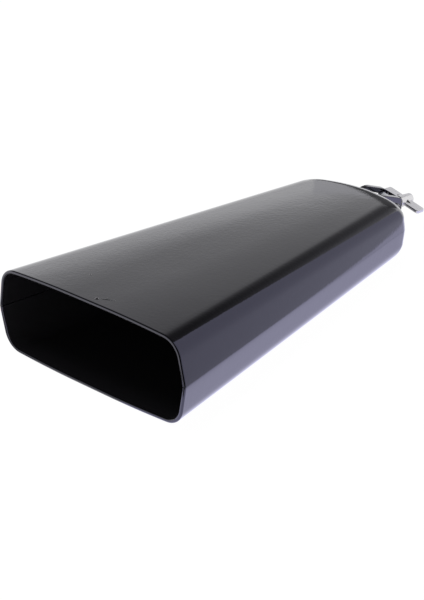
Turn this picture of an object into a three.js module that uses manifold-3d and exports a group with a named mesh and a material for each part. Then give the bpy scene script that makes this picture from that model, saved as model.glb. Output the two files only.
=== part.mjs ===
// A cowbell with a welded rod bracket and a wing-bolt clamp, in millimetres, +Z up.
// The bell lies on its lower broad face, its mouth towards -Y and its closed end towards +Y.
import * as THREE from "three";
import { mergeVertices } from "three/addons/utils/BufferGeometryUtils.js";
import Module from "manifold-3d";

const wasm = await Module();
wasm.setup();

// Bell, over the outside of the steel. Its axis is Y, the mouth is at y = 0.
const bellLength = 216;
const mouthWidth = 127.4;
const mouthHeight = 45.0;
const mouthCrown = 1.2;
const mouthSideLean = 4.5;
const mouthCornerRadius = 11;
const endWidth = 65.3;
const endHeight = 33.2;
const endSideLean = 0.4;
const endCornerRadius = 9.5;
const endFaceLean = 4.5;
const endFaceRadius = 12.5;
const endBow = 7.6;
const planCornerRadius = 7.5;
const planCornerSpread = 0.45;
const wall = 1.8;
const restHalfWidth = 10;

// Seam weld that joins the two half shells along the mid-plane.
const seamHeight = 1.0;
const seamGap = 0.1;

// Bracket: a plate bent to a U. In its own frame x runs across, y outwards and z up.
const plateThickness = 3;
const bracketWidth = 16.4;
const bracketReach = 21.2;
const bracketHeight = 19.8;
const bracketCornerRadius = 9.8;
const bracketTaper = 21;
const bracketBendRadius = 3.8;
const legBand = 2.9;
const legFoot = 2.9;
const legShoulder = 4;
const legShoulderRadius = 12;
const legRootHeight = 21;
const holeCornerRadius = 2.5;
const bracketOffsetX = -0.2;
const bracketOffsetZ = -2.2;
const bracketTilt = 7.4;
const bracketYaw = -9.5;

// Weld bead along each leg's foot.
const beadSize = 2.2;
const beadHeight = 19;

// Clamp plate between the legs, with a notch that centres the rod.
const clampThickness = 4.8;
const clampHeight = 14;
const clampNotchDepth = 2.7;
const clampNotchFlat = 2.4;
const clampTipFlat = 1;
const clampStandOff = 1.9;

// Wing bolt.
const boltDiameter = 6;
const neckDiameter = 3.6;
const peenDiameter = 5.2;
const peenHeight = 1.0;
const hubBaseRadius = 3.7;
const hubEndRadius = 3;
const hubLength = 10.6;
const hubStandOff = 2.7;
const wingSpan = 28.6;
const wingWidth = 6;
const wingThickness = 1.8;
const wingInset = 1.7;
const wingCornerRadius = 1.4;
const wingTurn = 3.2;

// Clearances.
const weldGap = 0.3;
const guideGap = 0.4;
const threadGap = 0.12;
const neckGap = 0.2;

// How finely the curves are cut.
const sideSteps = 5;
const cornerSteps = 8;
const endSteps = 7;
const filletSteps = 8;
const crownSteps = 12;
const roundSteps = 32;

const gloss = { color: 0x111114, roughness: 0.16, metalness: 0 };
const zincPlate = { color: 0xc3c3c6, roughness: 0.3, metalness: 1 };

function mix(a, b, t) {
  return a + (b - a) * t;
}

// Where the broad faces stop and the closed end starts to round over.
function flatEnd() {
  const profile = profileAt(bellLength, 0, 0, true);
  return bellLength - profile[profile.length - 1][0];
}

// The broad faces' crown fades to nothing where the closed end starts to round over.
function crownAt(y) {
  return mouthCrown * Math.max(0, 1 - y / flatEnd());
}

// Half a cross-section: how far the wall stands in from the ridge, and how high, for each step.
// A leaning wall rises from the ridge and a fillet turns it into the broad face.
function wallProfile(lean, height, radius, start) {
  const length = Math.hypot(lean, height);
  const corner = Math.acos(-lean / length);
  const reach = radius / Math.tan(corner / 2);
  const centre = [lean + reach, height - radius];
  const first = Math.PI - (Math.PI / 2 - Math.atan2(height, lean));
  const points = [[(lean * start) / height, start]];
  for (let i = 0; i <= filletSteps; i++) {
    const angle = mix(first, Math.PI / 2, i / filletSteps);
    points.push([
      centre[0] + radius * Math.cos(angle),
      centre[1] + radius * Math.sin(angle),
    ]);
  }
  return points;
}

function profileAt(y, inset, start, atEnd) {
  const t = y / bellLength;
  const radius = atEnd ? endFaceRadius : mix(mouthCornerRadius, endCornerRadius, t);
  return wallProfile(
    atEnd ? endFaceLean : mix(mouthSideLean, endSideLean, t),
    mix(mouthHeight, endHeight, t) / 2 - inset,
    Math.max(radius - inset, 1),
    start,
  );
}

function sideX(y, inset, start, level) {
  const half = mix(mouthWidth, endWidth, y / bellLength) / 2 - inset;
  return half - profileAt(y, inset, start, false)[level][0];
}

// The right half of the bell's outline at one level: along the side, round the corner and
// across the bowed end to the middle.
function outlineAt(level, inset, start) {
  const endInset = profileAt(bellLength, inset, start, true)[level][0];
  const endY = bellLength - inset - endInset;
  const halfEnd = endWidth / 2;
  const radius =
    Math.max(planCornerRadius - inset, 1) + planCornerSpread * endInset;
  const end = (x) => [x, endY - endBow * (x / halfEnd) ** 2];
  const endNormal = (x) => {
    const slope = (2 * endBow * x) / halfEnd ** 2;
    return [slope / Math.hypot(slope, 1), 1 / Math.hypot(slope, 1)];
  };
  const nearY = bellLength * 0.8;
  const nearX = sideX(nearY, inset, start, level);
  const slope = (sideX(bellLength, inset, start, level) - nearX) / (bellLength - nearY);
  const normal = [1 / Math.hypot(1, slope), -slope / Math.hypot(1, slope)];
  const centreFor = (x) => {
    const [nx, ny] = endNormal(x);
    return [end(x)[0] - radius * nx, end(x)[1] - radius * ny];
  };
  const overlap = (x) => {
    const [cx, cy] = centreFor(x);
    return (cx - nearX) * normal[0] + (cy - nearY) * normal[1] + radius;
  };
  let low = 0;
  let high = halfEnd * 1.2;
  for (let i = 0; i < 40; i++) {
    const middle = (low + high) / 2;
    if (overlap(middle) < 0) low = middle;
    else high = middle;
  }
  const [cx, cy] = centreFor(low);
  const from = Math.atan2(normal[1], normal[0]);
  const to = Math.atan2(endNormal(low)[1], endNormal(low)[0]);
  const zAt = (y, share) =>
    mix(
      profileAt(y, inset, start, false)[level][1],
      profileAt(y, inset, start, true)[level][1],
      share,
    );
  const points = [];
  const sideEnd = cy + radius * Math.sin(from);
  for (let i = 0; i < sideSteps; i++) {
    const y = (sideEnd * i) / sideSteps;
    points.push([sideX(y, inset, start, level), y, zAt(y, 0)]);
  }
  for (let i = 0; i <= cornerSteps; i++) {
    const angle = mix(from, to, i / cornerSteps);
    const y = cy + radius * Math.sin(angle);
    points.push([cx + radius * Math.cos(angle), y, zAt(y, i / cornerSteps)]);
  }
  for (let i = 1; i <= endSteps; i++) {
    const [x, y] = end(low * (1 - i / endSteps));
    points.push([x, y, zAt(y, 1)]);
  }
  return points;
}

// A surface of one half of the bell: its levels from the seam up, then the crowned broad face.
function halfSurface(inset, start) {
  const vertices = [];
  const levels = [];
  const count = sideSteps + cornerSteps + endSteps;
  for (let level = 0; level <= filletSteps + 1; level++) {
    const right = outlineAt(level, inset, start);
    const row = right.map((p) => vertices.push(p) - 1);
    for (let i = count - 1; i >= 0; i--) {
      row.push(vertices.push([-right[i][0], right[i][1], right[i][2]]) - 1);
    }
    levels.push(row);
  }
  const top = levels[levels.length - 1];
  const rows = [];
  for (let i = 0; i < count; i++) {
    const [x, y, z] = vertices[top[i]];
    const row = [top[i]];
    for (let j = 1; j < crownSteps; j++) {
      const across = x * (1 - (2 * j) / crownSteps);
      const past = Math.max(0, Math.abs(across) - restHalfWidth);
      const rise = 1 - (past / Math.max(x - restHalfWidth, 1)) ** 2;
      row.push(vertices.push([across, y, z + crownAt(y) * Math.max(rise, 0)]) - 1);
    }
    row.push(top[2 * count - i]);
    rows.push(row);
  }
  rows.push([top[count]]);
  const triangles = [];
  for (let level = 0; level + 1 < levels.length; level++) {
    strip(triangles, levels[level], levels[level + 1]);
  }
  for (let i = 0; i < count; i++) {
    if (rows[i + 1].length > 1) strip(triangles, rows[i + 1], rows[i]);
    else fan(triangles, rows[i + 1][0], [...rows[i]].reverse());
  }
  const mouth = [...levels.map((row) => row[0]), ...rows[0].slice(1)];
  for (let level = levels.length - 2; level >= 0; level--) {
    mouth.push(levels[level][2 * count]);
  }
  return { vertices, triangles, seam: levels[0], mouth };
}

function strip(triangles, a, b) {
  for (let i = 0; i + 1 < a.length; i++) {
    triangles.push([a[i], a[i + 1], b[i + 1]], [a[i], b[i + 1], b[i]]);
  }
}

function fan(triangles, tip, row) {
  for (let i = 0; i + 1 < row.length; i++) triangles.push([tip, row[i], row[i + 1]]);
}

// A geometry from vertices and triangles, turned so that its faces point outwards.
function closedGeometry(vertices, triangles, mirror) {
  const flip = mirror ? -1 : 1;
  const position = vertices.flatMap(([x, y, z]) => [x, y, z * flip]);
  const volume = triangles.reduce((sum, [a, b, c]) => {
    const [p, q, r] = [a, b, c].map((i) => new THREE.Vector3(...vertices[i]));
    return sum + p.dot(q.cross(r));
  }, 0);
  const keep = volume * flip > 0;
  const index = triangles.flatMap(([a, b, c]) => (keep ? [a, b, c] : [a, c, b]));
  const geometry = new THREE.BufferGeometry();
  geometry.setAttribute("position", new THREE.Float32BufferAttribute(position, 3));
  geometry.setIndex(index);
  return geometry;
}

function halfShell(mirror) {
  const start = seamHeight / 2 + seamGap;
  const outer = halfSurface(0, start);
  const inner = halfSurface(wall, start);
  const shift = outer.vertices.length;
  const vertices = [...outer.vertices, ...inner.vertices];
  const triangles = [
    ...outer.triangles,
    ...inner.triangles.map(([a, b, c]) => [a + shift, c + shift, b + shift]),
  ];
  strip(triangles, inner.seam.map((i) => i + shift), outer.seam);
  strip(triangles, outer.mouth, inner.mouth.map((i) => i + shift));
  return closedGeometry(vertices, triangles, mirror);
}

// The bell as one filled body, grown by a clearance, to cut what is welded to it.
function filledBell(growth) {
  const half = halfSurface(-growth, 0);
  const middle = half.vertices.push([0, 0, 0]) - 1;
  const triangles = [...half.triangles];
  fan(triangles, middle, [...half.seam].reverse());
  fan(triangles, middle, half.mouth);
  return solid(closedGeometry(half.vertices, triangles, false)).add(
    solid(closedGeometry(half.vertices, triangles, true)),
  );
}

function solid(geometry) {
  const bare = geometry.clone();
  bare.deleteAttribute("normal");
  bare.deleteAttribute("uv");
  const merged = mergeVertices(bare, 1e-4);
  return new wasm.Manifold(
    new wasm.Mesh({
      numProp: 3,
      vertProperties: merged.attributes.position.array,
      triVerts: new Uint32Array(merged.index.array),
    }),
  );
}

function geometryOf(body) {
  const mesh = body.getMesh();
  const geometry = new THREE.BufferGeometry();
  const position = new THREE.BufferAttribute(mesh.vertProperties, 3);
  geometry.setAttribute("position", position);
  geometry.setIndex(new THREE.BufferAttribute(mesh.triVerts, 1));
  return geometry;
}

function named(name, geometry, look) {
  geometry.computeVertexNormals();
  const mesh = new THREE.Mesh(geometry, new THREE.MeshStandardMaterial(look));
  mesh.name = name;
  return mesh;
}

// A flat outline with rounded corners. Each corner is [x, y, radius].
function roundedShape(corners) {
  const shape = new THREE.Shape();
  corners.forEach(([x, y, radius], i) => {
    const before = corners[(i + corners.length - 1) % corners.length];
    const after = corners[(i + 1) % corners.length];
    const here = new THREE.Vector2(x, y);
    const back = new THREE.Vector2(before[0], before[1]).sub(here).normalize();
    const on = new THREE.Vector2(after[0], after[1]).sub(here).normalize();
    if (!radius) {
      if (i) shape.lineTo(x, y);
      else shape.moveTo(x, y);
      return;
    }
    const half = Math.acos(THREE.MathUtils.clamp(back.dot(on), -1, 1)) / 2;
    const reach = radius / Math.tan(half);
    const from = back.clone().multiplyScalar(reach).add(here);
    const to = on.clone().multiplyScalar(reach).add(here);
    const middle = back.clone().add(on).normalize();
    const centre = middle.multiplyScalar(radius / Math.sin(half)).add(here);
    const first = from.clone().sub(centre).angle();
    const turn = back.cross(on) < 0;
    const last = to.clone().sub(centre).angle();
    if (i) shape.lineTo(from.x, from.y);
    else shape.moveTo(from.x, from.y);
    shape.absarc(centre.x, centre.y, radius, first, last, !turn);
  });
  shape.closePath();
  return shape;
}

function extruded(shape, depth) {
  const options = { depth, bevelEnabled: false, curveSegments: 10 };
  return new THREE.ExtrudeGeometry(shape, options);
}

// An outline drawn in (y, z), made solid across x, centred on x = 0.
function acrossX(shape, width) {
  const geometry = extruded(shape, width);
  geometry.translate(0, 0, -width / 2);
  const turn = new THREE.Matrix4().makeBasis(
    new THREE.Vector3(0, 1, 0),
    new THREE.Vector3(0, 0, 1),
    new THREE.Vector3(1, 0, 0),
  );
  return geometry.applyMatrix4(turn);
}

// A turned body on the Y axis. Each profile point is [radius, y].
function turned(profile) {
  const points = profile.map(([radius, y]) => new THREE.Vector2(radius, y));
  return new THREE.LatheGeometry(points, roundSteps);
}

function rod(diameter, fromY, toY) {
  const geometry = new THREE.CylinderGeometry(
    diameter / 2,
    diameter / 2,
    toY - fromY,
    roundSteps,
  );
  return geometry.translate(0, (fromY + toY) / 2, 0);
}

// The plan strip of the seam between two places of the bell's outline.
function seamStrip(from, to) {
  const ridge = (inset) => {
    const right = outlineAt(0, inset, 0);
    const left = right.slice(0, -1).reverse();
    return [...right, ...left.map(([x, y, z]) => [-x, y, z])].slice(from, to + 1);
  };
  const outer = ridge(0);
  const inner = ridge(wall).reverse();
  const shape = new THREE.Shape(
    [...outer, ...inner].map(([x, y]) => new THREE.Vector2(x, y)),
  );
  return extruded(shape, seamHeight).translate(0, 0, -seamHeight / 2);
}

// Bell group. It's turned so that the strip it lies on is level, at z = 0.
const bell = new THREE.Group();
const mouthHalf = mouthHeight / 2 + mouthCrown;
const farHalf = mix(mouthHeight, endHeight, flatEnd() / bellLength) / 2;
bell.rotation.x = -Math.atan((mouthHalf - farHalf) / flatEnd());
bell.add(named("upper_half_shell", halfShell(false), gloss));
bell.add(named("lower_half_shell", halfShell(true), gloss));
const lastPoint = 2 * (sideSteps + cornerSteps + endSteps);
const sideSeam = seamStrip(0, sideSteps);
const otherSeam = seamStrip(lastPoint - sideSteps, lastPoint);
bell.add(named("side_seam_right", sideSeam, gloss));
bell.add(named("side_seam_left", otherSeam, gloss));
const endSeam = seamStrip(sideSteps, lastPoint - sideSteps);
bell.add(named("end_seam", endSeam, gloss));

// Bracket group, on the middle of the closed end.
const bracket = new THREE.Group();
bracket.position.set(bracketOffsetX, bellLength, bracketOffsetZ);
bracket.rotation.set(
  0,
  THREE.MathUtils.degToRad(bracketTilt),
  THREE.MathUtils.degToRad(bracketYaw),
  "ZXY",
);
bell.add(bracket);
bracket.updateMatrix();
const intoBracket = bracket.matrix.clone().invert();
function bellInBracket(growth) {
  return solid(geometryOf(filledBell(growth)).applyMatrix4(intoBracket));
}

const rootDepth = endFaceLean + endFaceRadius;
const taperAngle = THREE.MathUtils.degToRad(bracketTaper);
const taper = Math.tan(taperAngle);
const legHalf = bracketHeight / 2;

// A leg's end corners are never rounder than its height leaves room for, in the hole too.
const tangent = 1 / Math.tan(Math.PI / 4 + taperAngle / 2);
const roundest = (legHalf - legBand * (1 - tangent)) / (tangent + taper);
const legCorner = Math.min(bracketCornerRadius, roundest);
const legWaist = bracketReach - legCorner;
const shoulderHalf = legHalf + taper * (legWaist - legShoulder);
const legOutline = roundedShape([
  [-rootDepth, -legRootHeight / 2, 0],
  [legShoulder, -shoulderHalf, legShoulderRadius],
  [bracketReach, -legHalf + taper * legCorner, legCorner],
  [bracketReach, legHalf - taper * legCorner, legCorner],
  [legShoulder, shoulderHalf, legShoulderRadius],
  [-rootDepth, legRootHeight / 2, 0],
]);
const holeNear = legHalf + taper * (legWaist - legFoot) - legBand;
const holeFar = legHalf - taper * legCorner - legBand;
const holeReach = bracketReach - legBand;
const holeOutline = roundedShape([
  [legFoot, -holeNear, holeCornerRadius],
  [holeReach, -holeFar, legCorner - legBand],
  [holeReach, holeFar, legCorner - legBand],
  [legFoot, holeNear, holeCornerRadius],
]);
const halfWidth = bracketWidth / 2;
const bend = roundedShape([
  [-halfWidth, -rootDepth, 0],
  [-halfWidth + plateThickness, -rootDepth, 0],
  [
    -halfWidth + plateThickness,
    bracketReach - plateThickness,
    bracketBendRadius - plateThickness,
  ],
  [
    halfWidth - plateThickness,
    bracketReach - plateThickness,
    bracketBendRadius - plateThickness,
  ],
  [halfWidth - plateThickness, -rootDepth, 0],
  [halfWidth, -rootDepth, 0],
  [halfWidth, bracketReach, bracketBendRadius],
  [-halfWidth, bracketReach, bracketBendRadius],
]);
const tallest = 2 * shoulderHalf;
const plate = solid(extruded(bend, tallest).translate(0, 0, -tallest / 2))
  .intersect(solid(acrossX(legOutline, 2 * bracketWidth)))
  .subtract(solid(acrossX(holeOutline, 2 * bracketWidth)))
  .subtract(solid(rod(boltDiameter + 2 * threadGap, legFoot, bracketReach + 1)))
  .subtract(bellInBracket(weldGap));
bracket.add(named("mount_bracket", geometryOf(plate), gloss));

const beadRing = bellInBracket(weldGap + beadSize).subtract(bellInBracket(weldGap));
for (const [name, side] of [
  ["bracket_weld_right", 1],
  ["bracket_weld_left", -1],
]) {
  const reach = new THREE.BoxGeometry(beadSize, 2 * rootDepth, beadHeight);
  reach.translate(side * (halfWidth + weldGap + beadSize / 2), 0, 0);
  const bead = solid(reach).intersect(beadRing);
  bracket.add(named(name, geometryOf(bead), gloss));
}

// Clamp plate: its back stands off the bracket's cross plate, its notch faces the bell.
const clampBack = bracketReach - plateThickness - clampStandOff;
const clampFront = clampBack - clampThickness;
const notchFloor = clampFront + clampNotchDepth;
const clampHalf = clampHeight / 2;
const clampShape = roundedShape([
  [clampBack, -clampHalf, 1],
  [clampBack, clampHalf, 1],
  [clampFront, clampHalf, 0.4],
  [clampFront, clampHalf - clampTipFlat, 0],
  [notchFloor, clampNotchFlat / 2 + peenDiameter / 4, 0],
  [notchFloor, -clampNotchFlat / 2 - peenDiameter / 4, 0],
  [clampFront, -clampHalf + clampTipFlat, 0],
  [clampFront, -clampHalf, 0.4],
]);
const clampWidth = bracketWidth - 2 * plateThickness - 2 * guideGap;
const recessDiameter = peenDiameter + 2 * neckGap;
const recessFloor = notchFloor + peenHeight;
const neckHole = neckDiameter + 2 * neckGap;
const clampPlate = solid(acrossX(clampShape, clampWidth))
  .subtract(solid(rod(neckHole, clampFront - 1, clampBack + 1)))
  .subtract(solid(rod(recessDiameter, clampFront - 1, recessFloor)));
bracket.add(named("clamp_plate", geometryOf(clampPlate), zincPlate));

// Wing bolt: the neck turns in the clamp plate, the peened tip and the shoulder hold the plate.
const wingBolt = new THREE.Group();
wingBolt.rotation.y = THREE.MathUtils.degToRad(wingTurn);
bracket.add(wingBolt);
const hubBase = bracketReach + hubStandOff;
const peenTop = recessFloor - neckGap;
const shankEnd = hubBase + hubLength / 3;
const shank = turned([
  [0, peenTop - peenHeight],
  [peenDiameter / 2 - 0.4, peenTop - peenHeight],
  [peenDiameter / 2, peenTop - peenHeight + 0.4],
  [peenDiameter / 2, peenTop],
  [neckDiameter / 2, peenTop],
  [neckDiameter / 2, clampBack + neckGap],
  [boltDiameter / 2 - 0.5, clampBack + neckGap],
  [boltDiameter / 2, clampBack + neckGap + 0.5],
  [boltDiameter / 2, shankEnd],
  [0, shankEnd],
]);
wingBolt.add(named("wing_bolt_shank", shank, zincPlate));

const hubEnd = hubBase + hubLength;
const hub = turned([
  [0, hubBase],
  [hubBaseRadius - 0.4, hubBase],
  [hubBaseRadius, hubBase + 0.4],
  [hubEndRadius, hubEnd - 0.9],
  [hubEndRadius * 0.82, hubEnd - 0.25],
  [hubEndRadius * 0.5, hubEnd],
  [0, hubEnd],
]);
const wingNear = hubBase + wingInset;
const wings = roundedShape([
  [-wingSpan / 2, wingNear, wingCornerRadius],
  [wingSpan / 2, wingNear, wingCornerRadius],
  [wingSpan / 2, wingNear + wingWidth, wingCornerRadius],
  [-wingSpan / 2, wingNear + wingWidth, wingCornerRadius],
]);
const wingPair = extruded(wings, wingThickness).translate(0, 0, -wingThickness / 2);
const socket = rod(boltDiameter + 2 * threadGap, hubBase - 1, shankEnd + threadGap);
const wingHead = solid(hub).add(solid(wingPair)).subtract(solid(socket));
wingBolt.add(named("wing_bolt_head", geometryOf(wingHead), zincPlate));

// The origin is under the middle of the whole, on the surface that the bell lies on.
const cowbell = new THREE.Group();
cowbell.add(bell);
const extent = new THREE.Box3().setFromObject(cowbell, true);
const middle = extent.getCenter(new THREE.Vector3());
bell.position.set(-middle.x, -middle.y, -extent.min.z);

export default cowbell;
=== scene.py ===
import math

import bmesh
import bpy
import numpy as np
from mathutils import Matrix, Vector, noise


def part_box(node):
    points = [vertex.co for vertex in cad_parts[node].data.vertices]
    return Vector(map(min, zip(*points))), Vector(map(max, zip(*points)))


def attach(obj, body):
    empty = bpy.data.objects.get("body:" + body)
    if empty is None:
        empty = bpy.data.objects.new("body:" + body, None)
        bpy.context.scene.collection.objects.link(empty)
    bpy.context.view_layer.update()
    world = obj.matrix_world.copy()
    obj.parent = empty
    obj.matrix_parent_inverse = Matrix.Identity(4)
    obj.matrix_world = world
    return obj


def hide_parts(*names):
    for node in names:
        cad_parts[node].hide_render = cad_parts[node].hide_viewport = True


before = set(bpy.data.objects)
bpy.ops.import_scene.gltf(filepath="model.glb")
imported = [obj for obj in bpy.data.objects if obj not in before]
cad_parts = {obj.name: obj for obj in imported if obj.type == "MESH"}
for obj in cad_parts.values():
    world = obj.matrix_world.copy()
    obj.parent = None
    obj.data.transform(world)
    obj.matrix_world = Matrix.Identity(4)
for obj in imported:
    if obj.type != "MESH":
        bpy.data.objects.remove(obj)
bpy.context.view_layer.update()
mm = 0.001  # sizes are in millimetres, apart from the studio at the end


def linearColour(hexCode):
    channels = [int(hexCode[i : i + 2], 16) / 255 for i in (0, 2, 4)]
    return [c / 12.92 if c <= 0.04045 else ((c + 0.055) / 1.055) ** 2.4 for c in channels] + [1]


def addNode(tree, kind, inputs=None, **settings):  # one node; each input is a value or a link
    node = tree.nodes.new(kind)
    for name, value in settings.items():
        setattr(node, name, value)
    for name, value in (inputs or {}).items():
        if isinstance(value, bpy.types.NodeSocket):
            tree.links.new(value, node.inputs[name])
        else:
            node.inputs[name].default_value = value
    return node


def startMaterial(name):
    material = bpy.data.materials.new(name)
    material.use_nodes = True
    material.node_tree.nodes.clear()
    return material, material.node_tree


def endMaterial(tree, shader):
    addNode(tree, "ShaderNodeOutputMaterial", {"Surface": shader.outputs[0]})


# Camera, in front of the mouth and to its right, a little above.
cameraView = {
    "aimMm": (0.0, -26.35, 20.4),
    "azimuth": 43.098,
    "elevation": 26.670,
    "roll": -2.22,
    "distanceMm": 764.1,
    "lens": 89.5,
    "sensorMm": 36,
    "clipStart": 0.01,
    "shift": (-0.0266, -0.0392),
}


def addCamera():
    azimuth, elevation = (math.radians(cameraView[k]) for k in ("azimuth", "elevation"))
    back = Vector(
        (
            math.sin(azimuth) * math.cos(elevation),
            -math.cos(azimuth) * math.cos(elevation),
            math.sin(elevation),
        )
    )
    right = Vector((0, 0, 1)).cross(back).normalized()
    turn = Matrix.Rotation(math.radians(cameraView["roll"]), 3, back)
    right = turn @ right
    up = back.cross(right)
    camera = bpy.data.objects.new("camera", bpy.data.cameras.new("camera"))
    camera.data.sensor_width = cameraView["sensorMm"]
    camera.data.lens = cameraView["lens"]
    camera.data.shift_x, camera.data.shift_y = cameraView["shift"]
    camera.data.clip_start = cameraView["clipStart"]
    place = Vector(cameraView["aimMm"]) * mm + back * cameraView["distanceMm"] * mm
    basis = Matrix((right, up, back)).transposed().to_4x4()
    camera.matrix_world = Matrix.Translation(place) @ basis
    bpy.context.scene.collection.objects.link(camera)
    bpy.context.scene.camera = camera


addCamera()
print("camera placed")

# Bell: two pressed half shells that meet on a ridge along the mid-plane.
bellSizes = {
    "length": 216,
    "mouthWidth": 127.4,
    "mouthHeight": 45.0,
    "mouthCrown": 1.2,
    "mouthSideLean": 4.5,
    "mouthCornerRadius": 11,
    "endWidth": 65.3,
    "endHeight": 33.2,
    "endSideLean": 0.4,
    "endCornerRadius": 9.5,
    "endFaceLean": 4.5,
    "endFaceRadius": 12.5,
    "endBow": 7.6,
    "planCornerRadius": 7.5,
    "planCornerSpread": 0.45,
    "leastRadius": 1,
    "leastFlat": 1,
    "wall": 1.8,
    "rimRound": 0.75,  # the enamel softens the cut edge of the mouth
    "ridgeSoft": 1.1,  # and the ridge where the side walls meet
    "endRidgeSoft": 4,  # the same ridge across the closed end
    "restHalfWidth": 10,  # the middle strip of each broad face is straight across
    "seamHalf": 0.25,
    "sideSteps": 56,
    "mouthCrowding": 1.7,  # above 1, the rows stand closer together near the mouth
    "wallCrowding": 2,  # and closer together near the seam
    "cornerSteps": 14,
    "endSteps": 18,
    "filletSteps": 14,
    "wallSteps": 9,
    "crownSteps": 40,
    "rimSteps": 9,
}


def blendOf(a, b, t):
    return a + (b - a) * t


def halfWidthAt(y):
    return blendOf(bellSizes["mouthWidth"], bellSizes["endWidth"], y / bellSizes["length"]) / 2


def wallPoints(lean, height, radius, start, soft, rise=0):  # (inset, height) from seam to broad face
    sizes = bellSizes
    corner = math.acos(-lean / math.hypot(lean, height))
    reach = radius / math.tan(corner / 2)
    centre = (lean + reach, height - radius)
    first = math.pi - (math.pi / 2 - math.atan2(height, lean))
    points = []
    for i in range(sizes["wallSteps"]):
        share = (i / sizes["wallSteps"]) ** sizes["wallCrowding"]
        level = blendOf(start, centre[1] + radius * math.sin(first), share)
        points.append((lean / height * math.hypot(level, soft), level))
    for i in range(sizes["filletSteps"] + 1):
        angle = blendOf(first, math.pi / 2 + rise, i / sizes["filletSteps"])
        points.append((centre[0] + radius * math.cos(angle), centre[1] + radius * math.sin(angle)))
    return points


def profileAt(y, inset, start, atEnd):
    sizes, t = bellSizes, y / bellSizes["length"]
    height = blendOf(sizes["mouthHeight"], sizes["endHeight"], t) / 2 - inset
    if atEnd:
        radius = max(sizes["endFaceRadius"] - inset, sizes["leastRadius"])
        return wallPoints(sizes["endFaceLean"], height, radius, start, sizes["endRidgeSoft"])
    lean = blendOf(sizes["mouthSideLean"], sizes["endSideLean"], t)
    radius = blendOf(sizes["mouthCornerRadius"], sizes["endCornerRadius"], t)
    radius = max(radius - inset, sizes["leastRadius"])
    # The corner ends in line with the crown, which starts with this slope.
    flat = halfWidthAt(y) - lean - radius - sizes["restHalfWidth"]
    rise = math.atan(2 * sizes["mouthCrown"] * max(0, 1 - y / flatEnd) / max(flat, sizes["leastFlat"]))
    return wallPoints(lean, height, radius, start, sizes["ridgeSoft"], rise)


def sideX(y, inset, start, level):
    return halfWidthAt(y) - inset - profileAt(y, inset, start, False)[level][0]


flatEnd = bellSizes["length"] - profileAt(bellSizes["length"], 0, 0, True)[-1][0]


def crownAt(x, y, edge):  # how far the broad face rises above its edge
    past = max(0, abs(x) - bellSizes["restHalfWidth"])
    flat = max(edge - bellSizes["restHalfWidth"], bellSizes["leastFlat"])
    share = max(0, 1 - (past / flat) ** 2)
    return bellSizes["mouthCrown"] * max(0, 1 - y / flatEnd) * share


def topAt(x, y):
    level = bellSizes["wallSteps"] + bellSizes["filletSteps"]
    return profileAt(y, 0, 0, False)[level][1] + crownAt(x, y, sideX(y, 0, 0, level))


sideFrom = 0.8  # share of the length from which each side is taken as straight
searchReach = 1.2  # the end corner is looked for up to this share of the end's half width
halvings = 40


def outlineAt(level, inset, start):  # right half at one level, from the mouth to the end's middle
    sizes = bellSizes
    length, halfEnd = sizes["length"], sizes["endWidth"] / 2
    endInset = profileAt(length, inset, start, True)[level][0]
    endY = length - inset - endInset
    radius = max(sizes["planCornerRadius"] - inset, sizes["leastRadius"])
    radius += sizes["planCornerSpread"] * endInset

    def endPoint(x):
        return x, endY - sizes["endBow"] * (x / halfEnd) ** 2

    def endNormal(x):
        slope = 2 * sizes["endBow"] * x / halfEnd**2
        return slope / math.hypot(slope, 1), 1 / math.hypot(slope, 1)

    def centreFor(x):
        return endPoint(x)[0] - radius * endNormal(x)[0], endPoint(x)[1] - radius * endNormal(x)[1]

    nearY = length * sideFrom
    nearX = sideX(nearY, inset, start, level)
    slope = (sideX(length, inset, start, level) - nearX) / (length - nearY)
    normal = (1 / math.hypot(1, slope), -slope / math.hypot(1, slope))
    low, high = 0, halfEnd * searchReach
    for _ in range(halvings):
        middle = (low + high) / 2
        cx, cy = centreFor(middle)
        if (cx - nearX) * normal[0] + (cy - nearY) * normal[1] + radius < 0:
            low = middle
        else:
            high = middle
    cx, cy = centreFor(low)
    first = math.atan2(normal[1], normal[0])
    last = math.atan2(endNormal(low)[1], endNormal(low)[0])

    def heightAt(y, share):
        onSide = profileAt(y, inset, start, False)[level][1]
        return blendOf(onSide, profileAt(y, inset, start, True)[level][1], share)

    points = []
    sideEnd = cy + radius * math.sin(first)
    for i in range(sizes["sideSteps"]):
        share = (i / sizes["sideSteps"]) ** sizes["mouthCrowding"]
        y = blendOf(sizes["rimRound"], sideEnd, share)
        points.append((sideX(y, inset, start, level), y, heightAt(y, 0)))
    for i in range(sizes["cornerSteps"] + 1):
        share = i / sizes["cornerSteps"]
        angle = blendOf(first, last, share)
        y = cy + radius * math.sin(angle)
        ease = share * share * (3 - 2 * share)
        points.append((cx + radius * math.cos(angle), y, heightAt(y, ease)))
    for i in range(1, sizes["endSteps"] + 1):
        x, y = endPoint(low * (1 - i / sizes["endSteps"]))
        points.append((x, y, heightAt(y, 1)))
    return points


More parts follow.
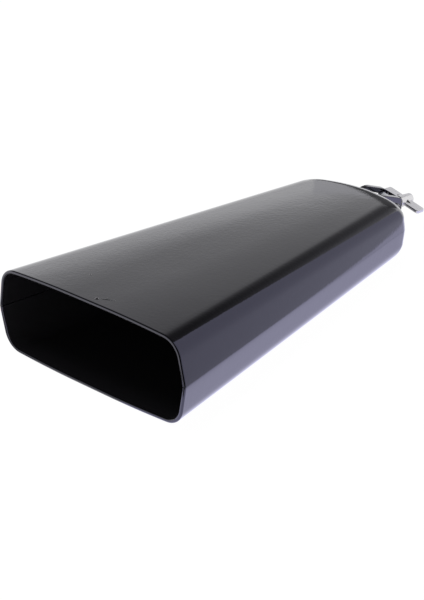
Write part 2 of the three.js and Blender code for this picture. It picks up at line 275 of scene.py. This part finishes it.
def skinOf(inset, start, vertices, faces):  # one skin of a half shell; returns its seam and mouth rows
    sizes = bellSizes
    count = sizes["sideSteps"] + sizes["cornerSteps"] + sizes["endSteps"]
    levels = []
    for level in range(sizes["wallSteps"] + sizes["filletSteps"] + 1):
        right = outlineAt(level, inset, start)
        row = []
        for x, y, z in right + [(-x, y, z) for x, y, z in reversed(right[:-1])]:
            row.append(len(vertices))
            vertices.append((x, y, z))
        levels.append(row)
    for below, above in zip(levels, levels[1:]):
        for i in range(len(below) - 1):
            faces.append((below[i], below[i + 1], above[i + 1], above[i]))
    top = levels[-1]
    rows = []
    for i in range(count):
        x, y, z = vertices[top[i]]
        row = [top[i]]
        for j in range(1, sizes["crownSteps"]):
            across = x * (1 - 2 * j / sizes["crownSteps"])
            row.append(len(vertices))
            vertices.append((across, y, z + crownAt(across, y, x)))
        row.append(top[2 * count - i])
        rows.append(row)
    for near, far in zip(rows, rows[1:]):
        for i in range(len(near) - 1):
            faces.append((near[i], far[i], far[i + 1], near[i + 1]))
    for a, b in zip(rows[-1], rows[-1][1:]):
        faces.append((a, top[count], b))
    mouth = [row[0] for row in levels] + rows[0][1:-1] + [row[-1] for row in reversed(levels)]
    return levels[0], mouth


def halfShellMesh(upward):
    sizes = bellSizes
    vertices, faces = [], []
    start = sizes["seamHalf"]
    outerSeam, outerMouth = skinOf(0, start, vertices, faces)
    outerFaces = len(faces)
    innerSeam, innerMouth = skinOf(sizes["wall"], start, vertices, faces)
    faces[outerFaces:] = [tuple(reversed(f)) for f in faces[outerFaces:]]
    innerFaces = len(faces)
    rings, radius, wall = [outerMouth], sizes["rimRound"], sizes["wall"]
    steps = sizes["rimSteps"]
    path = []
    for i in range(1, steps + 1):
        angle = math.pi / 2 * i / steps
        path.append((radius * (1 - math.cos(angle)), radius * (1 - math.sin(angle))))
    path += [(wall - across, y) for across, y in reversed(path)]
    for across, y in path:
        ring = []
        for a, b in zip(outerMouth, innerMouth):
            outerPoint, innerPoint = vertices[a], vertices[b]
            ring.append(len(vertices))
            x, z = (blendOf(outerPoint[k], innerPoint[k], across / wall) for k in (0, 2))
            vertices.append((x, y, z))
        rings.append(ring)
    rings.append(innerMouth)
    for near, far in zip(rings, rings[1:]):
        for i in range(len(near) - 1):
            faces.append((near[i], near[i + 1], far[i + 1], far[i]))
    for i in range(len(outerSeam) - 1):
        faces.append((outerSeam[i + 1], outerSeam[i], innerSeam[i], innerSeam[i + 1]))
    rightEnd = [ring[0] for ring in rings]
    leftEnd = [ring[-1] for ring in rings]
    for chain in (rightEnd, leftEnd):
        faces.append(tuple(chain))
    points = np.array(vertices)
    if not upward:
        points[:, 2] *= -1
        faces = [tuple(reversed(f)) for f in faces]
    return points, faces, outerFaces, innerFaces


# The top face keeps a slight swell towards the closed end.
topSwell = {"high": 0.5, "middle": 175, "half": 130, "shareOfWidth": 0.95, "startsAt": 10, "growsOver": 5}


def swellTop(points):
    for point in points:
        x, y, z = point
        across = max(0, 1 - (x / (topSwell["shareOfWidth"] * halfWidthAt(y))) ** 2) ** 2
        along = max(0, 1 - ((y - topSwell["middle"]) / topSwell["half"]) ** 2) ** 2
        upTheWall = min(1, max(0, z - topSwell["startsAt"]) / topSwell["growsOver"])
        point[2] = z + topSwell["high"] * across * along * upTheWall


sharpFrom = 35  # degrees between two faces that meet in a crisp edge


def meshObject(name, points, faces, place):
    mesh = bpy.data.meshes.new(name)
    mesh.from_pydata([place @ Vector(p) * mm for p in points], [], faces)
    mesh.validate()
    mesh.shade_smooth()
    mesh.set_sharp_from_angle(angle=math.radians(sharpFrom))
    piece = bpy.data.objects.new(name, mesh)
    bpy.context.scene.collection.objects.link(piece)
    return piece


# The bell lies on its lower face, so its own axis tips by half its taper.
farHeight = blendOf(bellSizes["mouthHeight"], bellSizes["endHeight"], flatEnd / bellSizes["length"])
tip = -math.atan((bellSizes["mouthHeight"] / 2 + bellSizes["mouthCrown"] - farHeight / 2) / flatEnd)
lowCorner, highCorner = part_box("lower_half_shell")
bellPlace = Matrix.Rotation(tip, 4, "X")


def placeBell():
    points = np.array([bellPlace @ Vector(p) for p in halfShellMesh(False)[0]])
    shift = Vector((
        (lowCorner.x + highCorner.x) / 2 / mm,
        lowCorner.y / mm - points[:, 1].min(),
        -points[:, 2].min(),
    ))
    return Matrix.Translation(shift) @ bellPlace


bellPlace = placeBell()
print("bell outline placed")


noiseStride = Vector((7.31, 3.17, 5.77))


def noiseField(points, size, seed):  # smooth lumps about one size across, from -1 to 1
    offset = noiseStride * seed
    return np.array([noise.noise(Vector(p) / size + offset) for p in points])


def addShell(name, node, upward):
    points, faces, outerFaces, innerFaces = halfShellMesh(upward)
    if upward:
        swellTop(points)
    shell = meshObject(name, points, faces, bellPlace)
    shell.data.materials.append(materials["bellEnamel"])
    shell.data.materials.append(materials["insideEnamel"])
    for i, polygon in enumerate(shell.data.polygons):
        polygon.material_index = 1 if outerFaces <= i < innerFaces else 0
    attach(shell, "bell")
    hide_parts(node)
    return shell


# Seam: the two halves are welded edge to edge, ground back and enamelled over.
seamSizes = {
    "proud": 0.04,  # past the outer face; inside it ends at the inner face
    "squareness": 0.25,  # 1 gives an oval section, 0 a square one
    "half": 0.4,
    "lumpSize": 2.4,
    "lumpHeight": 0.02,
    "around": 16,
    "middle": 0.2,  # share of the length; every stretch of seam faces away from this point
    "seed": 2,
}


def addSeam(name, node, first, last):
    outline = outlineAt(0, 0, 0)
    whole = outline + [(-x, y, z) for x, y, z in reversed(outline[:-1])]
    whole[0] = (whole[0][0], bellSizes["rimRound"] / 2, 0)
    whole[-1] = (whole[-1][0], bellSizes["rimRound"] / 2, 0)
    path = [Vector((x, y, 0)) for x, y, z in whole[first : last + 1]]
    middle = Vector((0, bellSizes["length"] * seamSizes["middle"], 0))
    vertices, rings = [], []
    for i, point in enumerate(path):
        ahead = path[min(i + 1, len(path) - 1)] - path[max(i - 1, 0)]
        outward = Vector((ahead.y, -ahead.x, 0)).normalized()
        if outward.dot(point - middle) < 0:
            outward = -outward
        ring = []
        for j in range(seamSizes["around"]):
            angle = 2 * math.pi * j / seamSizes["around"]
            cosine = math.cos(angle)
            out = math.copysign(abs(cosine) ** seamSizes["squareness"], cosine)
            depth = seamSizes["proud"] if out > 0 else bellSizes["wall"]
            rise = Vector((0, 0, math.sin(angle) * seamSizes["half"]))
            ring.append(len(vertices))
            vertices.append(point + outward * out * depth + rise)
        rings.append(ring)
    lumps = noiseField(vertices, seamSizes["lumpSize"], seamSizes["seed"]) * seamSizes["lumpHeight"]
    vertices = [v + (v - middle).normalized() * lump for v, lump in zip(vertices, lumps)]
    faces = []
    for near, far in zip(rings, rings[1:]):
        for j in range(len(near)):
            k = (j + 1) % len(near)
            faces.append((near[j], far[j], far[k], near[k]))
    faces.append(tuple(rings[0]))
    faces.append(tuple(reversed(rings[-1])))
    seam = meshObject(name, vertices, faces, bellPlace)
    fixNormals(seam)
    seam.data.materials.append(materials["bellEnamel"])
    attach(seam, "bell")
    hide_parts(node)


def fixNormals(piece):
    work = bmesh.new()
    work.from_mesh(piece.data)
    bmesh.ops.recalc_face_normals(work, faces=work.faces)
    work.to_mesh(piece.data)
    work.free()


# Finishes.
enamelFinish = {
    "black": "0b0a0d",
    "tint": "d6d2ff",
    "roughness": 0.08,
    "coatRoughness": 0.03,
    "peelSizeMm": 1.7,
    "peelDepthMm": 0.025,
    "peelDetail": 3,
    "peelHarshness": 0.55,
    "waveSizeMm": 16,
    "waveDepthMm": 0.03,
}
insideFinish = {
    "black": "1b1a1d",
    "roughness": 0.42,
    "dustSizeMm": 1.2,
    "dustDepthMm": 0.02,
    "dustDetail": 4,
    "dustHarshness": 0.6,
}
bracketFinish = {
    "black": "0d0c10",
    "roughness": 0.12,
    "coatRoughness": 0.04,
    "poolSizeMm": 3.5,
    "poolDepthMm": 0.05,
}
zincFinish = {
    "silver": "c3c6cb",
    "smoothest": 0.2,
    "roughest": 0.3,
    "markSizeMm": 0.35,
    "markDepthMm": 0.003,
    "squeeze": (1, 6, 1),
}
nickelFinish = {
    "silver": "d2d1d3",
    "smoothest": 0.16,
    "roughest": 0.24,
    "markSizeMm": 0.3,
    "markDepthMm": 0.002,
    "squeeze": (0.15, 1, 1),
}
markDetail = 3
enamelIor, coatIor, dullIor = 1.55, 1.5, 1.5


def grains(tree, place, sizeMm, detail=2, harshness=0.5):  # noise of one grain size, from object metres
    scale = 1 / (sizeMm * mm)
    return addNode(tree, "ShaderNodeTexNoise",
        {"Vector": place, "Scale": scale, "Detail": detail, "Roughness": harshness}).outputs["Fac"]


def bumpOf(tree, height, depthMm, below=None):
    inputs = {"Height": height, "Strength": 1, "Distance": depthMm * mm}
    if below:
        inputs["Normal"] = below
    return addNode(tree, "ShaderNodeBump", inputs).outputs["Normal"]


def glossEnamel(tree, finish, normal):  # black enamel under its own clear gloss
    return addNode(tree, "ShaderNodeBsdfPrincipled", {
        "Base Color": linearColour(finish["black"]),
        "Roughness": finish["roughness"],
        "IOR": enamelIor,
        "Specular Tint": linearColour(enamelFinish["tint"]),
        "Coat Weight": 1,
        "Coat Roughness": finish["coatRoughness"],
        "Coat IOR": coatIor,
        "Normal": normal,
        "Coat Normal": normal,
    })


def makeBellEnamel():
    # Stoved gloss enamel, sprayed on pressed steel: black, mirror-like, with a fine orange peel.
    material, tree = startMaterial("stoved black enamel")
    finish = enamelFinish
    place = addNode(tree, "ShaderNodeTexCoord").outputs["Object"]
    wave = bumpOf(tree, grains(tree, place, finish["waveSizeMm"]), finish["waveDepthMm"])
    peel = grains(tree, place, finish["peelSizeMm"], finish["peelDetail"], finish["peelHarshness"])
    endMaterial(tree, glossEnamel(tree, finish, bumpOf(tree, peel, finish["peelDepthMm"], wave)))
    return material


def makeInsideEnamel():
    # The same enamel where the spray only drifted in: thin, dull and dusty.
    material, tree = startMaterial("thin inside enamel")
    finish = insideFinish
    place = addNode(tree, "ShaderNodeTexCoord").outputs["Object"]
    dust = grains(tree, place, finish["dustSizeMm"], finish["dustDetail"], finish["dustHarshness"])
    shader = addNode(tree, "ShaderNodeBsdfPrincipled", {
        "Base Color": linearColour(finish["black"]),
        "Roughness": finish["roughness"],
        "IOR": dullIor,
        "Normal": bumpOf(tree, dust, finish["dustDepthMm"]),
    })
    endMaterial(tree, shader)
    return material


def makeBracketEnamel():
    # The same enamel on bent plate and weld: it pools into a softer, thicker skin.
    material, tree = startMaterial("black enamel on plate")
    finish = bracketFinish
    place = addNode(tree, "ShaderNodeTexCoord").outputs["Object"]
    pool = bumpOf(tree, grains(tree, place, finish["poolSizeMm"]), finish["poolDepthMm"])
    endMaterial(tree, glossEnamel(tree, finish, pool))
    return material


def makeMetal(name, finish):  # plated metal with fine marks drawn out one way
    material, tree = startMaterial(name)
    place = addNode(tree, "ShaderNodeTexCoord").outputs["Object"]
    drawn = addNode(tree, "ShaderNodeMapping", {"Vector": place, "Scale": finish["squeeze"]}).outputs[0]
    marks = grains(tree, drawn, finish["markSizeMm"], markDetail)
    rough = addNode(tree, "ShaderNodeMapRange",
        {"Value": marks, "To Min": finish["smoothest"], "To Max": finish["roughest"]}).outputs["Result"]
    shader = addNode(tree, "ShaderNodeBsdfPrincipled", {
        "Base Color": linearColour(finish["silver"]),
        "Metallic": 1,
        "Roughness": rough,
        "Normal": bumpOf(tree, marks, finish["markDepthMm"]),
    })
    endMaterial(tree, shader)
    return material


materials = {
    "bellEnamel": makeBellEnamel(),
    "insideEnamel": makeInsideEnamel(),
    "bracketEnamel": makeBracketEnamel(),
    # Bright zinc plate on turned and cut steel: silver with a faint blue cast and fine cut marks.
    "zincPlate": makeMetal("bright zinc plate", zincFinish),
    # Nickel plate over a brushed die casting: warm silver, with short marks along the wings.
    "nickelCasting": makeMetal("nickel plated casting", nickelFinish),
}
print("finishes made")

addShell("upperShell", "upper_half_shell", True)
addShell("lowerShell", "lower_half_shell", False)
sideSteps = bellSizes["sideSteps"]
outlineSteps = 2 * (sideSteps + bellSizes["cornerSteps"] + bellSizes["endSteps"])
addSeam("sideSeamRight", "side_seam_right", 0, sideSteps)
addSeam("sideSeamLeft", "side_seam_left", outlineSteps - sideSteps, outlineSteps)
addSeam("endSeam", "end_seam", sideSteps, outlineSteps - sideSteps)
print("bell built")

# Small faults in the spray near the mouth: dust nibs and one hair, enamelled over.
sprayFaults = [
    {"at": (3.9, 4.3), "half": (1.2, 0.9), "high": 0.44, "turn": 25},
    {"at": (8.0, 6.7), "half": (4.4, 0.3), "high": 0.16, "turn": 32},
    {"at": (11.2, 8.4), "half": (0.6, 0.5), "high": 0.2, "turn": 0},
    {"at": (7.0, 8.2), "half": (0.5, 0.4), "high": 0.16, "turn": 0},
    {"at": (-18.5, 21.2), "half": (0.8, 0.7), "high": 0.2, "turn": 0},
]
faultRings = {"rings": 6, "around": 20, "sink": 0.02}


def addSprayFaults():
    vertices, faces = [], []
    for fault in sprayFaults:
        turn = math.radians(fault["turn"])
        middle = len(vertices)
        vertices.append((*fault["at"], topAt(*fault["at"]) + fault["high"]))
        for i in range(1, faultRings["rings"] + 1):
            share = i / faultRings["rings"]
            for j in range(faultRings["around"]):
                angle = 2 * math.pi * j / faultRings["around"]
                long = share * fault["half"][0] * math.cos(angle)
                wide = share * fault["half"][1] * math.sin(angle)
                x = fault["at"][0] + long * math.cos(turn) - wide * math.sin(turn)
                y = fault["at"][1] + long * math.sin(turn) + wide * math.cos(turn)
                rise = fault["high"] * (1 - share**2) ** 2 - faultRings["sink"] * share
                vertices.append((x, y, topAt(x, y) + rise))
        for i in range(faultRings["rings"]):
            for j in range(faultRings["around"]):
                k = (j + 1) % faultRings["around"]
                outer = middle + 1 + i * faultRings["around"]
                inner = outer - faultRings["around"]
                if i:
                    faces.append((inner + j, outer + j, outer + k, inner + k))
                else:
                    faces.append((middle, outer + j, outer + k))
    faults = meshObject("sprayFaults", vertices, faces, bellPlace)
    faults.data.materials.append(materials["bellEnamel"])
    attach(faults, "bell")


addSprayFaults()
print("spray faults added")

# Bracket frame: x across, y outwards from the closed end, z up.
bracketSizes = {"offset": (-0.2, 216, -2.2), "tilt": 7.4, "yaw": -9.5}
boltSizes = {
    "turn": 3.2,
    "radius": 3,
    "neckRadius": 1.8,
    "peenRadius": 2.6,
    "peenRound": 0.4,
    "peenStart": 14.0,
    "peenEnd": 15.0,
    "threadStart": 16.5,
    "threadEnd": 27.4,
    "pitch": 1.0,
    "threadDepth": 0.55,
    "rootWidth": 1.15,
    "flankSlope": 1.4,
    "runOut": 0.5,  # turns over which the thread dies out at each end
    "chamfer": 0.5,
    "alongStep": 0.08,
    "around": 48,
}
webSizes = {"root": 2.0, "tip": 6.8, "near": 26.4, "far": 31.0, "low": 0.7, "high": 2.2}
headSkin = {"voxelMm": 0.16, "passes": 7}
softening = {
    "mount_bracket": {"voxelMm": 0.2, "passes": 10, "finish": "bracketEnamel", "lumpMm": 0},
    "bracket_weld_right": {"voxelMm": 0.2, "passes": 6, "finish": "bracketEnamel", "lumpMm": 0.5},
    "bracket_weld_left": {"voxelMm": 0.2, "passes": 6, "finish": "bracketEnamel", "lumpMm": 0.5},
    "clamp_plate": {"voxelMm": 0.16, "passes": 5, "finish": "zincPlate", "lumpMm": 0},
}
weldLumpSize = 1.5

bracketPlace = (
    bellPlace
    @ Matrix.Translation(bracketSizes["offset"])
    @ Matrix.Rotation(math.radians(bracketSizes["yaw"]), 4, "Z")
    @ Matrix.Rotation(math.radians(bracketSizes["tilt"]), 4, "Y")
)
boltPlace = bracketPlace @ Matrix.Rotation(math.radians(boltSizes["turn"]), 4, "Y")


def threadCut(y, angle):  # how deep the thread is cut at one place, from 0 on the crest to 1 in the root
    phase = (y / boltSizes["pitch"] - angle / (2 * math.pi)) % 1
    cut = min(1, max(0, boltSizes["rootWidth"] - abs(2 * phase - 1) * boltSizes["flankSlope"]))
    ends = min(y - boltSizes["threadStart"], boltSizes["threadEnd"] - y) / boltSizes["pitch"]
    return cut * min(1, max(0, ends / boltSizes["runOut"]))


def addShank():  # peened tip, neck and thread, turned from one bar
    sizes = boltSizes
    threadStart = sizes["threadStart"] + sizes["chamfer"]
    threadRows = int((sizes["threadEnd"] - threadStart) / sizes["alongStep"])
    rows = [
        (0, sizes["peenStart"]),
        (sizes["peenRadius"] - sizes["peenRound"], sizes["peenStart"]),
        (sizes["peenRadius"], sizes["peenStart"] + sizes["peenRound"]),
        (sizes["peenRadius"], sizes["peenEnd"]),
        (sizes["neckRadius"], sizes["peenEnd"]),
        (sizes["neckRadius"], sizes["threadStart"]),
        (sizes["radius"] - sizes["chamfer"], sizes["threadStart"]),
    ]
    rows += [(sizes["radius"], threadStart + i * sizes["alongStep"]) for i in range(threadRows)]
    rows += [(0, rows[-1][1])]
    vertices, rings, faces = [], [], []
    for radius, y in rows:
        ring = []
        for j in range(sizes["around"]):
            angle = 2 * math.pi * j / sizes["around"]
            here = radius
            if radius == sizes["radius"]:
                here -= sizes["threadDepth"] * threadCut(y, angle)
            ring.append(len(vertices))
            vertices.append(Vector((here * math.cos(angle), y, here * math.sin(angle))))
        rings.append(ring)
    for near, far in zip(rings, rings[1:]):
        for j in range(len(near)):
            k = (j + 1) % len(near)
            faces.append((near[j], far[j], far[k], near[k]))
    shank = meshObject("threadedShank", vertices, faces, boltPlace)
    fixNormals(shank)
    shank.data.materials.append(materials["zincPlate"])
    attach(shank, "wing_bolt")
    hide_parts("wing_bolt_shank")


def soften(piece, voxelMm, passes):  # plating and enamel leave no cut edge sharp
    remesh = piece.modifiers.new("even skin", "REMESH")
    remesh.mode = "VOXEL"
    remesh.voxel_size = voxelMm * mm
    remesh.use_smooth_shade = True
    smooth = piece.modifiers.new("soft edges", "SMOOTH")
    smooth.factor = 0.5
    smooth.iterations = passes


def addWingHead():  # the cast head, with a web on both faces where each wing grows out of the hub
    sizes = webSizes
    work = bmesh.new()
    work.from_mesh(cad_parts["wing_bolt_head"].data)
    middle = (sizes["near"] + sizes["far"]) / 2
    for side in (1, -1):
        for face in (1, -1):
            corners = [
                (sizes["root"], sizes["near"], 0),
                (sizes["root"], sizes["far"], 0),
                (sizes["root"], sizes["near"], sizes["low"]),
                (sizes["root"], sizes["far"], sizes["low"]),
                (sizes["root"], middle, sizes["high"]),
                (sizes["tip"], middle, sizes["low"]),
            ]
            places = [boltPlace @ Vector((side * x, y, face * z)) for x, y, z in corners]
            bmesh.ops.convex_hull(work, input=[work.verts.new(place * mm) for place in places])
    mesh = bpy.data.meshes.new("wingHead")
    work.to_mesh(mesh)
    work.free()
    head = bpy.data.objects.new("wingHead", mesh)
    bpy.context.scene.collection.objects.link(head)
    mesh.materials.append(materials["nickelCasting"])
    soften(head, headSkin["voxelMm"], headSkin["passes"])
    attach(head, "wing_bolt")
    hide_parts("wing_bolt_head")


def dressCadPieces():  # bracket, welds and clamp plate keep their own shapes, with softened edges
    weldLumps = bpy.data.textures.new("weld lumps", "CLOUDS")
    weldLumps.noise_scale = weldLumpSize * mm
    for node, how in softening.items():
        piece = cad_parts[node]
        piece.data.materials.clear()
        piece.data.materials.append(materials[how["finish"]])
        soften(piece, how["voxelMm"], how["passes"])
        if how["lumpMm"]:
            lumps = piece.modifiers.new("weld lumps", "DISPLACE")
            lumps.texture = weldLumps
            lumps.strength = how["lumpMm"] * mm
            lumps.mid_level = 0.5


dressCadPieces()
addShank()
addWingHead()
print("bracket and clamp dressed")

# Studio: a pale floor, a bright horizon that fades to a dim ceiling, and soft lamps. Metres.
studio = {
    "floorHalf": 3.0,
    "floorWhite": "f4f4f4",
    "floorShare": 0.93,  # how much of the floor's look is its own glow, so that its shadow stays faint
    "floorGlow": (1.06, 1.06, 1.06, 1),
    "floorGlowInGloss": (0.95, 0.95, 0.97, 1),
    # How bright the backdrop is, by the height of the direction, from -1 straight down to 1 straight up.
    "skySteps": [
        (-0.1, 1.0),
        (0.24, 1.05),
        (0.292, 0.85),
        (0.317, 0.62),
        (0.342, 0.5),
        (0.375, 0.42),
        (0.44, 0.34),
        (0.5, 0.22),
        (0.64, 0.06),
        (1.0, 0.03),
    ],
}
# No lamp shows in the gloss.
lamps = [
    {"name": "backSoftbox", "place": (-1.3, 1.4, 2.2), "size": (1.2, 0.7), "watts": 10},
    {"name": "topSoftbox", "place": (-0.5, -0.2, 1.8), "size": (1.0, 1.0), "watts": 14},
]
# Cards glow, though they are no lamps, and are seen only in the gloss: each paints a reflection, bright
# or dark, onto the bell or its hardware. An upright one has two feet and its lowest and highest edges.
uprightCards = {
    # near-black glow: a painted dark reflection on the cut face of the mouth rim
    "rimCard": {
        "feet": [(0.054, -0.198), (0.134, -0.110)],
        "heights": (0, 0.1),
        "glow": (0.01, 0.01, 0.012),
    },
    # bright glow: a painted highlight on the top faces of the wings
    "wingCard": {
        "feet": [(-0.085, 0.15), (0.02, 0.18)],
        "heights": (0.01, 0.072),
        "glow": (0.8, 0.8, 0.82),
    },
    # bright glow: a painted highlight on the hub of the wing bolt
    "hubCard": {
        "feet": [(0.0243, 0.1257), (0.0087, 0.1423)],
        "heights": (0.005, 0.037),
        "glow": (1.1, 1.1, 1.1),
    },
}
# A flat one lies just above the floor: its near and far edges, left to right.
flatCards = {
    # lilac glow: a painted lilac reflection on the lower band of the side
    "underSideCard": {
        "near": [(0.02, -0.15), (0.14, -0.15)],
        "far": [(0.02, 0.16), (0.12, 0.16)],
        "height": 0.0004,
        "glow": (0.93, 0.92, 1.21),
    },
    # dim glow: a painted dark reflection on the mouth rim, where it faces the floor in front
    "underMouthCard": {
        "near": [(-0.1, -0.168), (0.09, -0.168)],
        "far": [(-0.1, -0.127), (0.09, -0.127)],
        "height": 0.0003,
        "glow": (0.2, 0.2, 0.22),
    },
}
# Two upright cards have a sloping upper edge, which draws the edge of a painted reflection.
# grey-lilac glow: a painted reflection on the upper band of the side, darker than the floor's
sideCard = {
    "corners": [
        (0.089, -0.125, 0),
        (0.047, 0.165, 0),
        (0.047, 0.165, 0.042),
        (0.0535, 0.12, 0.048),
        (0.0636, 0.05, 0.068),
        (0.0781, -0.05, 0.115),
        (0.089, -0.125, 0.12),
    ],
    "glow": (0.56, 0.56, 0.69),
}
# dim glow: a painted dark reflection along the upper edge of the closed end
endCard = {
    "corners": [
        (-0.06, 0.112, 0.036),
        (0.03, 0.112, 0.036),
        (0.03, 0.112, 0.058),
        (-0.06, 0.112, 0.041),
    ],
    "glow": (0.15, 0.15, 0.155),
}


def addFloor():
    half = studio["floorHalf"]
    corners = [(-half, -half, 0), (half, -half, 0), (half, half, 0), (-half, half, 0)]
    mesh = bpy.data.meshes.new("floor")
    mesh.from_pydata(corners, [], [(0, 1, 2, 3)])
    floor = bpy.data.objects.new("floor", mesh)
    bpy.context.scene.collection.objects.link(floor)
    material, tree = startMaterial("pale paper floor")
    paper = addNode(tree, "ShaderNodeBsdfDiffuse", {"Color": linearColour(studio["floorWhite"])})
    ray = addNode(tree, "ShaderNodeLightPath").outputs
    direct = addNode(tree, "ShaderNodeMath",
        {0: ray["Is Camera Ray"], 1: ray["Is Transmission Ray"]}, operation="MAXIMUM")
    seen = addNode(tree, "ShaderNodeMath",
        {0: direct.outputs[0], 1: ray["Is Glossy Ray"]}, operation="MAXIMUM")
    tint = addNode(tree, "ShaderNodeMix", {"Factor": ray["Is Glossy Ray"]}, data_type="RGBA")
    tint.inputs[6].default_value = studio["floorGlow"]
    tint.inputs[7].default_value = studio["floorGlowInGloss"]
    glow = addNode(tree, "ShaderNodeEmission", {"Color": tint.outputs[2], "Strength": 1})
    share = addNode(tree, "ShaderNodeMath",
        {0: seen.outputs[0], 1: studio["floorShare"]}, operation="MULTIPLY")
    both = addNode(tree, "ShaderNodeMixShader",
        {0: share.outputs[0], 1: paper.outputs[0], 2: glow.outputs[0]})
    endMaterial(tree, both)
    mesh.materials.append(material)


def addWorld():
    world = bpy.data.worlds.new("studio")
    bpy.context.scene.world = world
    world.use_nodes = True
    tree = world.node_tree
    tree.nodes.clear()
    direction = addNode(tree, "ShaderNodeTexCoord").outputs["Generated"]
    split = addNode(tree, "ShaderNodeSeparateXYZ", {0: direction})
    lowest, highest = studio["skySteps"][0][0], studio["skySteps"][-1][0]
    rise = addNode(tree, "ShaderNodeMapRange",
        {"Value": split.outputs["Z"], "From Min": lowest, "From Max": highest})
    ramp = addNode(tree, "ShaderNodeValToRGB", {"Fac": rise.outputs["Result"]})
    steps = [((height - lowest) / (highest - lowest), level) for height, level in studio["skySteps"]]
    ramp.color_ramp.elements[0].position = 0
    ramp.color_ramp.elements[1].position = 1
    for place, level in steps[1:-1]:
        ramp.color_ramp.elements.new(place)
    for element, (place, level) in zip(ramp.color_ramp.elements, steps):
        element.color = (level, level, level, 1)
    sky = addNode(tree, "ShaderNodeBackground", {"Color": ramp.outputs[0], "Strength": 1})
    addNode(tree, "ShaderNodeOutputWorld", {"Surface": sky.outputs[0]})


def addLamp(lamp):  # a soft rectangle that faces the bell
    light = bpy.data.lights.new(lamp["name"], "AREA")
    light.shape = "RECTANGLE"
    light.size, light.size_y = lamp["size"]
    light.energy = lamp["watts"]
    piece = bpy.data.objects.new(lamp["name"], light)
    piece.location = lamp["place"]
    piece.rotation_euler = (-Vector(lamp["place"])).to_track_quat("-Z", "Y").to_euler()
    piece.visible_glossy = False
    bpy.context.scene.collection.objects.link(piece)


# a glowing sheet seen only in the gloss, so it adds a painted reflection and no light
def addCard(name, corners, glow):
    mesh = bpy.data.meshes.new(name)
    mesh.from_pydata(corners, [], [tuple(range(len(corners)))])
    piece = bpy.data.objects.new(name, mesh)
    bpy.context.scene.collection.objects.link(piece)
    material, tree = startMaterial(name)
    endMaterial(tree, addNode(tree, "ShaderNodeEmission", {"Color": (*glow, 1), "Strength": 1}))
    mesh.materials.append(material)
    for ray in ("camera", "diffuse", "transmission", "volume_scatter", "shadow"):
        setattr(piece, "visible_" + ray, False)


def addCards():
    for name, card in uprightCards.items():
        (left, right), (low, high) = card["feet"], card["heights"]
        addCard(name, [(*left, low), (*right, low), (*right, high), (*left, high)], card["glow"])
    for name, card in flatCards.items():
        corners = [(*corner, card["height"]) for corner in card["near"] + card["far"][::-1]]
        addCard(name, corners, card["glow"])
    addCard("sideCard", sideCard["corners"], sideCard["glow"])
    addCard("endCard", endCard["corners"], endCard["glow"])


addFloor()
addWorld()
addCards()
for lamp in lamps:
    addLamp(lamp)
print("studio lit")

scene = bpy.context.scene
scene.view_settings.view_transform = "Standard"
